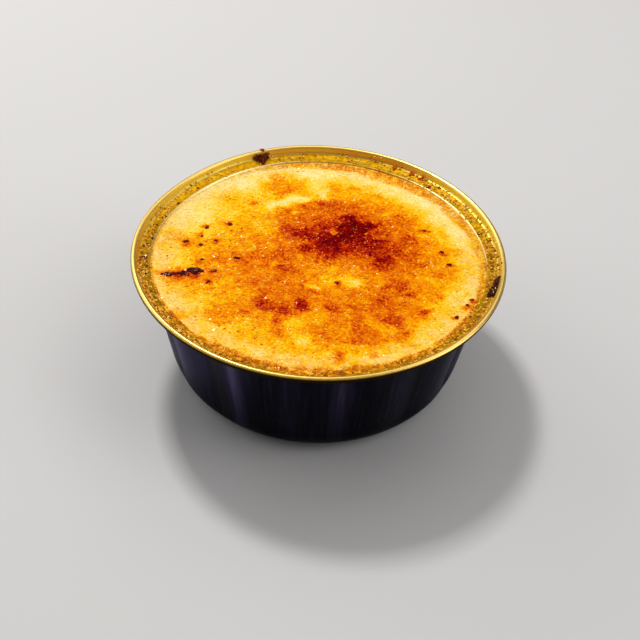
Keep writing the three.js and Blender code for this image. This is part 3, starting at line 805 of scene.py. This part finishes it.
def sugar(name, grain, wander, rough, gloss, uneven, constants):
    """A finish that follows the scorch, and takes the duller browns of sugar baked on foil where it's browned.
    grain is the size of a grain in millimetres, wander how far each one strays from the scorch round it, rough
    the roughness of bare sugar, gloss how much smoother burnt sugar is, and uneven the depth of its bumps as a
    share of the grain."""
    paint = Paint(name, constants)
    where = paint.places()
    fine = paint.noise(where, grain, 1.0, 0.5) - 0.5
    coarse = paint.noise(where, grain * 2.6, 2.0) - 0.5
    scorch = paint.value("scorch")
    unsettled = 0.5 + scorch.rises(0.0, 0.5) + 0.5 * scorch.rises(0.5, 0.75) - 1.2 * scorch.rises(0.78, 0.93)
    tone = scorch + wander * unsettled * (fine * 1.3 + coarse)
    reach = paint.vector("LENGTH", paint.vector("MULTIPLY", where, (1, 1, 0)), output=1)
    bare = 0.85 * reach.rises(CREAM_FROM * MM, CREAM_TO * MM) * paint.noise(where, 2.4, 2.0).rises(0.35, 0.6)
    melted, cream, baked = (
        paint.node("ShaderNodeValToRGB", {"stops": stops}, {0: tone})
        for stops in (SUGAR_TONES, CREAM_TONES, BROWN_TONES)
    )
    return paint.finish({
        "Base Color": paint.mix(paint.value("browned"), paint.mix(bare, melted, cream), baked),
        "Roughness": rough - gloss * scorch + 0.12 * coarse,
        "Normal": paint.bump(fine, grain * uneven),
    })


crust_finish = sugar("torched_crust", 0.7, 0.3, 0.44, 0.16, 0.2, {"Specular IOR Level": 0.01})

# %% The custard's piece
make_piece(
    "custard_and_crust", custard_points, custard_faces, [crust_finish], "torched_custard",
    replaces="custard", scorch=point_scorch, browned=point_browned,
)

# %% [markdown]
# ## Sugar grains
# Loose and half-melted grains roughen the crust. Thousands of separate objects would be slow, so each kind is
# one mesh: a small template shape, turned, stretched and moved once for every grain, as one array. Grains of
# crystal sugar are angular, so their template is an icosahedron with flat faces. They have next to no gloss
# of their own, as sticky sugar hasn't, and are a little paler or darker than the crust that they lie in.

# %% A template shape, copied to many places in one array
GOLDEN = (1 + math.sqrt(5)) / 2
RING = [(-1, GOLDEN), (1, GOLDEN), (-1, -GOLDEN), (1, -GOLDEN)]
LUMP = np.array([(a, b, 0) for a, b in RING] + [(0, a, b) for a, b in RING] + [(b, 0, a) for a, b in RING])
LUMP /= np.linalg.norm(LUMP, axis=1, keepdims=True)
LUMP_FACES = np.array([
    (0, 11, 5), (0, 5, 1), (0, 1, 7), (0, 7, 10), (0, 10, 11), (1, 5, 9), (5, 11, 4), (11, 10, 2), (10, 7, 6),
    (7, 1, 8), (3, 9, 4), (3, 4, 2), (3, 2, 6), (3, 6, 8), (3, 8, 9), (4, 9, 5), (2, 4, 11), (6, 2, 10),
    (8, 6, 7), (9, 8, 1),
])


def random_turns(random, count):
    """A random rotation matrix for each of count pieces, from random unit quaternions."""
    q = random.normal(size=(count, 4))
    w, x, y, z = (q / np.linalg.norm(q, axis=1, keepdims=True)).T
    rows = [
        [1 - 2 * (y * y + z * z), 2 * (x * y - z * w), 2 * (x * z + y * w)],
        [2 * (x * y + z * w), 1 - 2 * (x * x + z * z), 2 * (y * z - x * w)],
        [2 * (x * z - y * w), 2 * (y * z + x * w), 1 - 2 * (x * x + y * y)],
    ]
    return np.array(rows).transpose(2, 0, 1)


def lump_sizes(random, width, low, high, flatness):
    """Three sizes for each lump: its width, times a random number between low and high in each direction, and
    its height times the flatness."""
    return width[:, None] * random.uniform(low, high, (len(width), 3)) * np.array([1, 1, flatness])


def scatter(name, random, places, sizes, scorch, finish, browned=0.0, rough=0.0):
    """One mesh of a lump at each place. A lump is the template with its points pushed in and out at random,
    turned at random and stretched to its sizes."""
    push = 1 + rough * random.uniform(-1, 1, (len(sizes), len(LUMP), 1))
    shapes = (LUMP[None] * push) @ random_turns(random, len(sizes))
    join_copies(name, places, shapes * sizes[:, None] / 2, LUMP_FACES, scorch, finish, browned)


def join_copies(name, places, shapes, faces, scorch, finish, browned):
    """One mesh of shapes that share their faces, each moved to its place, and with its own scorch."""
    count, corners = shapes.shape[:2]
    points = np.stack(places, -1)[:, None] + shapes
    numbers = faces[None] + (np.arange(count) * corners)[:, None, None]
    make_piece(
        name, points.reshape(-1, 3), [numbers.reshape(-1, faces.shape[1])], [finish], "torched_custard",
        smooth=False, scorch=np.repeat(scorch, corners),
        browned=np.repeat(np.broadcast_to(browned, count), corners),
    )


def over_the_crust(random, count, gap):
    """Random places spread evenly over the crust, down to that gap from its edge. A ring's area grows with its
    radius, so the radius is the root of an even random number."""
    reach = np.sqrt(random.uniform(0, 1, count))
    turn = random.uniform(-np.pi, np.pi, count)
    x, y = reach * np.sin(turn), -reach * np.cos(turn)
    edge = edge_at(x, y) - gap
    return x * edge, y * edge


def rare(random, count):
    """Random numbers that are mostly near 0, and now and then as much as 4."""
    return random.exponential(0.5, count).clip(0, 2) ** 2


# %% Grains all over the crust
CRUST_GRAINS = 8000
random = np.random.default_rng(7)
x, y = over_the_crust(random, CRUST_GRAINS, 1.2)
tone = scorch_at(x, y)
width = random.uniform(0.35, 0.8, CRUST_GRAINS) * (0.8 + 0.4 * tone)
sizes = lump_sizes(random, width, 0.8, 1.2, 0.36)
z = crust_height(x, y, tone)
paler = rare(random, CRUST_GRAINS) * smoothstep(tone, 0.0, 0.6)
darker = rare(random, CRUST_GRAINS) * smoothstep(tone, 0.6, 0.3) * (1 + smoothstep(x, 2, -20))
darker = darker * (0.35 + 0.65 * smoothstep(tone, 0.1, 0.25))
tone = tone - 0.08 * paler + 0.055 * darker + random.normal(0, 0.03, CRUST_GRAINS)
grain_finish = sugar("sugar_grains", 0.4, 0.12, 0.4, 0.2, 0.1, {"Specular IOR Level": 0.02})
scatter("crust_sugar", random, (x, y, z), sizes, np.clip(tone, 0, 0.95), grain_finish, rough=0.1)

# %% [markdown]
# Crystals that haven't quite melted lie nearly flat, with one face up, and each of those faces is a mirror.
# Most of them look away from the lamp, and the few that don't are the sparkle of the crust. So a crystal is a
# low block whose upright is tipped by a small random angle and then turned any way round.

# %% Flat crystals that catch the lamp
CRYSTALS = 18000
CRYSTAL_TIP = 12.0
BLOCK_CORNERS = np.array([(x, y, z) for z in (-1, 1) for x, y in ((-1, -1), (1, -1), (1, 1), (-1, 1))], float)
BLOCK_FACES = np.array([(3, 2, 1, 0), (4, 5, 6, 7), (0, 1, 5, 4), (1, 2, 6, 5), (2, 3, 7, 6), (3, 0, 4, 7)])


def tipped_blocks(random, sizes, tip):
    """A block for each row of sizes, tipped by about that many degrees: its upright is (a, b, 1) made one long,
    and its two flat directions are square to it and to each other."""
    count = len(sizes)
    upright = np.stack([*(np.radians(tip) * random.normal(size=(2, count))), np.ones(count)], -1)
    upright /= np.linalg.norm(upright, axis=1, keepdims=True)
    turn = random.uniform(0, 2 * np.pi, count)
    level = np.stack([np.cos(turn), np.sin(turn), 0 * turn], -1)
    first = np.cross(upright, level)
    first /= np.linalg.norm(first, axis=1, keepdims=True)
    axes = np.stack([first, np.cross(upright, first), upright], 1)
    return (BLOCK_CORNERS[None] * sizes[:, None] / 2) @ axes


random = np.random.default_rng(11)
x, y = over_the_crust(random, CRYSTALS, 0.6)
tone = scorch_at(x, y)
kept = random.uniform(0, 1, CRYSTALS) < 0.32 + 0.45 * tone
x, y, tone = x[kept], y[kept], tone[kept]
width = 0.15 + random.exponential(0.1, len(x)).clip(0, 0.4)
sizes = width[:, None] * np.stack([np.ones(len(x)), random.uniform(0.6, 1, len(x)), np.full(len(x), 0.3)], -1)
z = crust_height(x, y, tone) + 0.06 * width
glassy = {"Specular IOR Level": 0.3, "Specular Tint": tint(255, 206, 160)}
crystal_finish = sugar("sugar_crystals", 0.4, 0.1, 0.2, 0.04, 0.02, glassy)
blocks = tipped_blocks(random, sizes, CRYSTAL_TIP)
tone = np.clip(tone - 0.04 - 0.11 * rare(random, len(x)), 0, 0.95)
join_copies("crust_crystals", (x, y, z), blocks, BLOCK_FACES, tone, crystal_finish, 0.0)

# %% [markdown]
# ## The fringe
# Sugar collects against the wall and browns into a narrow grainy ring. It is a heap of small grains, piled a
# little higher towards the foil.

# %% The ring of grains against the foil
FRINGE_GRAINS = 6500
random = np.random.default_rng(8)
angle = random.uniform(-180, 180, FRINGE_GRAINS)
full_width = by_angle(FRINGE_WIDTHS, angle)
inward = random.uniform(0, 1.1, FRINGE_GRAINS) * full_width
kept = random.uniform(0, 1, FRINGE_GRAINS) < 0.25 + 0.75 * full_width / 3
angle, inward = angle[kept], inward[kept]
x, y = np.sin(np.radians(angle)), -np.cos(np.radians(angle))
reach = edge_at(x, y) - 0.2 - inward
x, y = reach * x, reach * y
width = random.uniform(0.22, 0.5, len(x))
sizes = lump_sizes(random, width, 0.75, 1.25, 0.6)
z = slow_height(x, y) + random.uniform(-0.06, 0.07, len(x)) * np.clip(1 - inward / 2, 0, 1)
ring = fringe_at(x, y)
kind = random.choice([-0.12, 0.0, 0.12], len(x), p=[0.3, 0.5, 0.2]) + random.normal(0, 0.04, len(x))
tone = by_angle(FRINGE_TONES, angle) + 0.12 * fractal(x, y, 3.0) + kind
tone = np.clip(scorch_at(x, y) * (1 - ring) + tone * ring, 0.05, 0.9)
toasted = {"Specular IOR Level": 0.16, "Specular Tint": tint(255, 210, 150)}
toasted_finish = sugar("toasted_grains", 0.4, 0.12, 0.34, 0.16, 0.1, toasted)
scatter("fringe_sugar", random, (x, y, z), sizes, tone, toasted_finish, browned_at(x, y), rough=0.12)

# %% [markdown]
# ## Sugar on the ledge
# Grains that missed the custard lie on the ledge, some clear and golden, some melted to brown drops. They lie
# on the foil's own section, so the height comes from the same line that the cup was turned from.

# %% Grains on the ledge
LEDGE_GRAINS = 9000
CROWD = {
    -180: 0.25, -155: 0.12, -130: 0.16, -110: 0.3, -90: 0.6, -70: 0.9, -55: 1.0, -40: 0.8, -20: 0.5, 0: 0.4,
    20: 0.4, 35: 0.7, 60: 0.7, 75: 0.5, 90: 0.8, 110: 0.65, 130: 0.45, 150: 0.3, 180: 0.25,
}


def ledge_place(radius, turn):
    """Where on the squeezed cup a point of the round one comes to lie."""
    radius = radius * (1 - squeeze(turn, CUP_HEIGHT))
    return radius * np.sin(turn), -radius * np.cos(turn)


def ledge_top(radius):
    """Height of the foil's food side, from the lip to the top of the bead."""
    upper = food_side[(food_side[:, 1] > LIP_HEIGHT - 0.3) & (food_side[:, 0] < bead_centre[0] - 0.5)]
    roll = bead_centre[1] + np.sqrt(np.clip(BEAD_RADIUS**2 - (radius - bead_centre[0]) ** 2, 0, None))
    return np.where(radius < upper[:, 0].max(), np.interp(radius, upper[:, 0], upper[:, 1]), roll)


random = np.random.default_rng(9)
reach = LEDGE_INNER_RADIUS + 0.3 + 2.6 * random.beta(1.6, 1.2, LEDGE_GRAINS)
turn = random.uniform(-np.pi, np.pi, LEDGE_GRAINS)
lumpy = 0.75 + 0.5 * waves(40 * np.sin(turn), 40 * np.cos(turn), 3.0)
kept = random.uniform(0, 1, LEDGE_GRAINS) < by_angle(CROWD, np.degrees(turn)) * lumpy
reach, turn = reach[kept], turn[kept]
x, y = ledge_place(reach, turn)
width = random.gamma(3.0, 0.12, len(x)).clip(0.18, 0.7)
sizes = lump_sizes(random, width, 0.8, 1.2, 0.7)
z = ledge_top(reach) + 0.1 * width
at_back = smoothstep(np.abs(turn), 1.6, 2.0)
kind = random.uniform(0, 1, len(x)) - 0.3 * at_back
clear, golden, brown = 0.12, 0.4, 0.7
tone = np.select([kind < 0.25, kind < 0.68], [clear, golden], brown) + random.normal(0, 0.08, len(x))
scatter("ledge_sugar", random, (x, y, z), sizes, np.clip(tone, 0, 0.95), toasted_finish, 0.9, rough=0.1)

# %% [markdown]
# ## Burnt sugar
# Where a grain stood alone in the flame it swelled and burnt to a black crumb. There are single specks on the
# crust, a streak of them on the left, and crumbs and heaps stuck to the ledge. Each is a handful of small
# faceted lumps crowded together. The specks and the streak are charred and dull. The crumbs and heaps have a
# finish of their own, with enough gloss for a glint here and there.

# %% Specks and the streak on the crust
STREAK_BLOBS = [
    (-36.3, -8.5, 0.9), (-35.4, -8.2, 1.3), (-34.7, -8.6, 1.4), (-33.9, -8.4, 1.1), (-33.2, -8.6, 1.1),
    (-32.6, -8.1, 1.3), (-32.0, -8.6, 1.0), (-31.3, -7.9, 1.4), (-30.7, -8.4, 1.1), (-30.3, -7.3, 1.6),
    (-29.6, -6.9, 2.1), (-28.9, -6.8, 2.3), (-28.1, -7.1, 2.1), (-27.4, -7.3, 1.3), (-29.3, -7.9, 1.6),
    (-28.2, -8.5, 0.9), (-30.0, -8.8, 0.8),
]
LUMPS_IN_A_SPECK = 5
SPECK_TONES, STREAK_TONES = (0.88, 0.96), (0.95, 1.0)
random = np.random.default_rng(10)
lumps = []
for spots, tones in ((BURNT_SPECKS, SPECK_TONES), (STREAK_BLOBS, STREAK_TONES)):
    for spot_x, spot_y, spot_width in spots:
        spread = np.array([0.42, 0.26]) * spot_width
        offset = random.normal(0, 0.5, (LUMPS_IN_A_SPECK, 2)) * spread
        width = 0.5 * spot_width * random.uniform(0.7, 1.3, LUMPS_IN_A_SPECK)
        tone = random.uniform(*tones, LUMPS_IN_A_SPECK)
        lumps.append([spot_x + offset[:, 0], spot_y + offset[:, 1], width, tone])
x, y, width, tone = np.concatenate(lumps, 1)
z = slow_height(x, y) + 0.18 * width
sizes = lump_sizes(random, width, 0.8, 1.2, 1) * np.array([1.3, 1.2, 0.6])
burnt_finish = sugar("burnt_sugar", 0.7, 0.06, 0.42, 0.2, 0.03, {"Specular IOR Level": 0.08})
scatter("burnt_specks", random, (x, y, z), sizes, tone, burnt_finish, 0.4, rough=0.08)

# %% [markdown]
# Two heaps of burnt sugar are stuck to the ledge. The one at the back is a wedge with its tip at the lip, and
# spills over the bead. The one on the right is long, leans from the lip towards the bead, and climbs the
# bead's flank. Each is a swarm of lumps about half a millimetre wide, and single crumbs lie round the ledge.

# %% The heaps and crumbs on the ledge
# A crumb is (angle, distance from the axis, width, tone).
HEAP_LUMPS = 160
LUMPS_IN_A_CRUMB = 4
LEDGE_CRUMBS = [
    (151, 42.1, 1.6, 0.66), (144, 42.0, 1.7, 0.64), (139, 42.0, 1.5, 0.70), (131.5, 42.0, 1.1, 0.70),
    (128, 40.9, 0.8, 0.78), (134.5, 40.8, 1.0, 0.84), (111, 41.0, 0.8, 0.80), (103, 40.8, 0.9, 0.92),
    (95, 40.7, 1.4, 0.72), (-128.5, 40.9, 0.9, 0.90), (-117, 40.6, 1.0, 0.93), (-108.5, 40.5, 0.6, 0.94),
    (-107, 41.0, 0.6, 0.86), (-102, 40.9, 0.8, 0.92), (-95, 40.4, 0.7, 0.95), (-91.5, 41.1, 0.8, 0.90),
    (-84.7, 41.1, 1.4, 0.93), (-76, 41.0, 1.0, 0.92), (-55, 39.6, 1.4, 0.70), (-23.5, 39.6, 0.9, 0.74),
    (27.5, 39.9, 0.9, 0.72), (50, 40.1, 0.6, 0.84), (83, 42.9, 0.5, 0.94), (-62, 41.0, 0.5, 0.86),
]
random = np.random.default_rng(12)

# The wedge at the back: out goes from 0 at its tip to 1 at the bead.
out = np.sqrt(random.uniform(0, 1, HEAP_LUMPS))
spill = random.uniform(0, 1, HEAP_LUMPS) < 0.15
aside = random.uniform(-1, 1, HEAP_LUMPS) * np.where(spill, 0.3, 1.0)
back_angle = -158.2 + 3.3 * out * aside - 0.6 * spill
back_reach = np.where(spill, random.uniform(42.9, 44.0, HEAP_LUMPS), 40.4 + 2.0 * out)
back_lift = random.uniform(0.0, 1.0, HEAP_LUMPS) * np.where(spill, 0.15, 0.3 + 1.1 * out) - 0.05

# The long heap on the right: along goes from 0 at its broad end to 1 at its tip.
along = random.uniform(0, 1, HEAP_LUMPS)
right_angle = 68.6 + 8.8 * along
right_reach = 41.8 + 0.6 * along + (1.1 - 0.6 * along) * random.uniform(-1, 1, HEAP_LUMPS)
right_reach = np.minimum(right_reach, 42.55)
right_lift = random.uniform(0, 1, HEAP_LUMPS) * (0.35 + 1.0 * smoothstep(right_reach, 41.8, 42.5))

back_width, right_width = random.uniform(0.4, 0.75, HEAP_LUMPS), random.uniform(0.35, 0.65, HEAP_LUMPS)
back_tone = random.normal(0.92, 0.06, HEAP_LUMPS) - 0.2 * spill
right_tone = random.normal(1.0, 0.04, HEAP_LUMPS)
lumps = [
    [np.radians(back_angle), back_reach, back_lift, back_width, back_tone],
    [np.radians(right_angle), right_reach, right_lift, right_width, right_tone],
]
for angle, crumb_reach, size, shade in LEDGE_CRUMBS:
    turn = math.radians(angle) + random.normal(0, 0.22, LUMPS_IN_A_CRUMB) * size / crumb_reach
    reach = crumb_reach + random.normal(0, 0.14, LUMPS_IN_A_CRUMB) * size
    width = size * random.uniform(0.45, 0.8, LUMPS_IN_A_CRUMB)
    tone = random.normal(shade, 0.03, LUMPS_IN_A_CRUMB)
    lumps.append([turn, reach, np.full(LUMPS_IN_A_CRUMB, 0.02), width, tone])
turn, reach, lift, width, tone = np.concatenate(lumps, 1)
x, y = ledge_place(reach, turn)
z = np.minimum(ledge_top(reach) + lift, CUP_HEIGHT + 0.1)
sizes = lump_sizes(random, width, 0.85, 1.15, 0.8)
browned = 0.15 + 0.55 * smoothstep(tone, 0.8, 0.9)
black_glass = {"Specular IOR Level": 0.45, "Specular Tint": tint(255, 206, 190)}
glass_finish = sugar("burnt_glass", 0.7, 0.06, 0.28, 0.2, 0.02, black_glass)
scatter("burnt_heaps", random, (x, y, z), sizes, np.clip(tone, 0, 1), glass_finish, browned, rough=0.06)

# %% [markdown]
# ## Floor, light and camera
# A plain pale floor, and light as in a room with a window on either side: a small strong lamp high behind on
# the left, which gives the shadow and the glints on caramel, a large soft one behind on the right, the two
# windows, a ceiling panel and a dim even surround. The camera stands where one looks down at a dessert on a
# table, a little rolled.

# %% The floor
floor_paint = Paint("pale_floor", {"Roughness": 0.7})
floor_finish = floor_paint.finish({"Base Color": tint(206, 206, 208)})
FLOOR_HALF = 1500.0
square = np.array([(-1, -1, 0), (1, -1, 0), (1, 1, 0), (-1, 1, 0)], float) * FLOOR_HALF
floor_mesh = bpy.data.meshes.new("floor")
floor_mesh.from_pydata((square * MM).tolist(), [], [(0, 1, 2, 3)])
floor_mesh.materials.append(floor_finish)
add_object("floor", floor_mesh)


# %% The lamps
def soft_lamp(name, direction, distance, width, height, watts, colour):
    """An oblong lamp that far away in that direction from the middle of the crust, and facing it."""
    lamp = bpy.data.lights.new(name, "AREA")
    lamp.shape = "RECTANGLE"
    lamp.size = width * MM
    lamp.size_y = height * MM
    lamp.energy = watts
    lamp.color = colour
    holder = add_object(name, lamp)
    aim = Vector(direction).normalized()
    holder.location = Vector((0, 0, CUSTARD_LEVEL * MM)) + aim * distance * MM
    holder.rotation_euler = aim.to_track_quat("Z", "Y").to_euler()


LAMP_WHITE, DAY_WHITE = (1.0, 0.97, 0.92), (1.0, 0.98, 0.95)
soft_lamp("key_lamp", (-0.24, 0.47, 0.85), 900, 130, 130, 4.6, LAMP_WHITE)
soft_lamp("back_right_lamp", (0.34, 0.45, 0.82), 900, 600, 600, 1.1, LAMP_WHITE)
soft_lamp("left_window", (-0.76, 0.44, 0.48), 800, 1000, 400, 2.0, DAY_WHITE)
soft_lamp("right_window", (0.82, -0.17, 0.54), 800, 400, 900, 2.2, DAY_WHITE)
soft_lamp("ceiling_panel", (0, 0, 1), 1100, 2400, 2400, 3.6, DAY_WHITE)
world = bpy.data.worlds.new("surround")
world.use_nodes = True
surround = world.node_tree.nodes["Background"].inputs
surround["Color"].default_value = (1.0, 0.98, 0.96, 1.0)
surround["Strength"].default_value = 0.13
bpy.context.scene.world = world
bpy.context.scene.view_settings.view_transform = "Standard"

# %% The camera
CAMERA_PLACE = Vector((-4.43, -159.5, 157.4))
CAMERA_AIM = Vector((0.12, -26.04, 33.0))
CAMERA_ROLL = 2.863
LENS = 47.81
lens = bpy.data.cameras.new("camera")
lens.lens = LENS
lens.sensor_width = 36.0
lens.clip_start = 0.01
camera = add_object("camera", lens)
camera.location = CAMERA_PLACE * MM
look = (CAMERA_AIM - CAMERA_PLACE).to_track_quat("-Z", "Y")
camera.rotation_mode = "QUATERNION"
camera.rotation_quaternion = look @ Quaternion((0, 0, 1), math.radians(CAMERA_ROLL))
bpy.context.scene.camera = camera
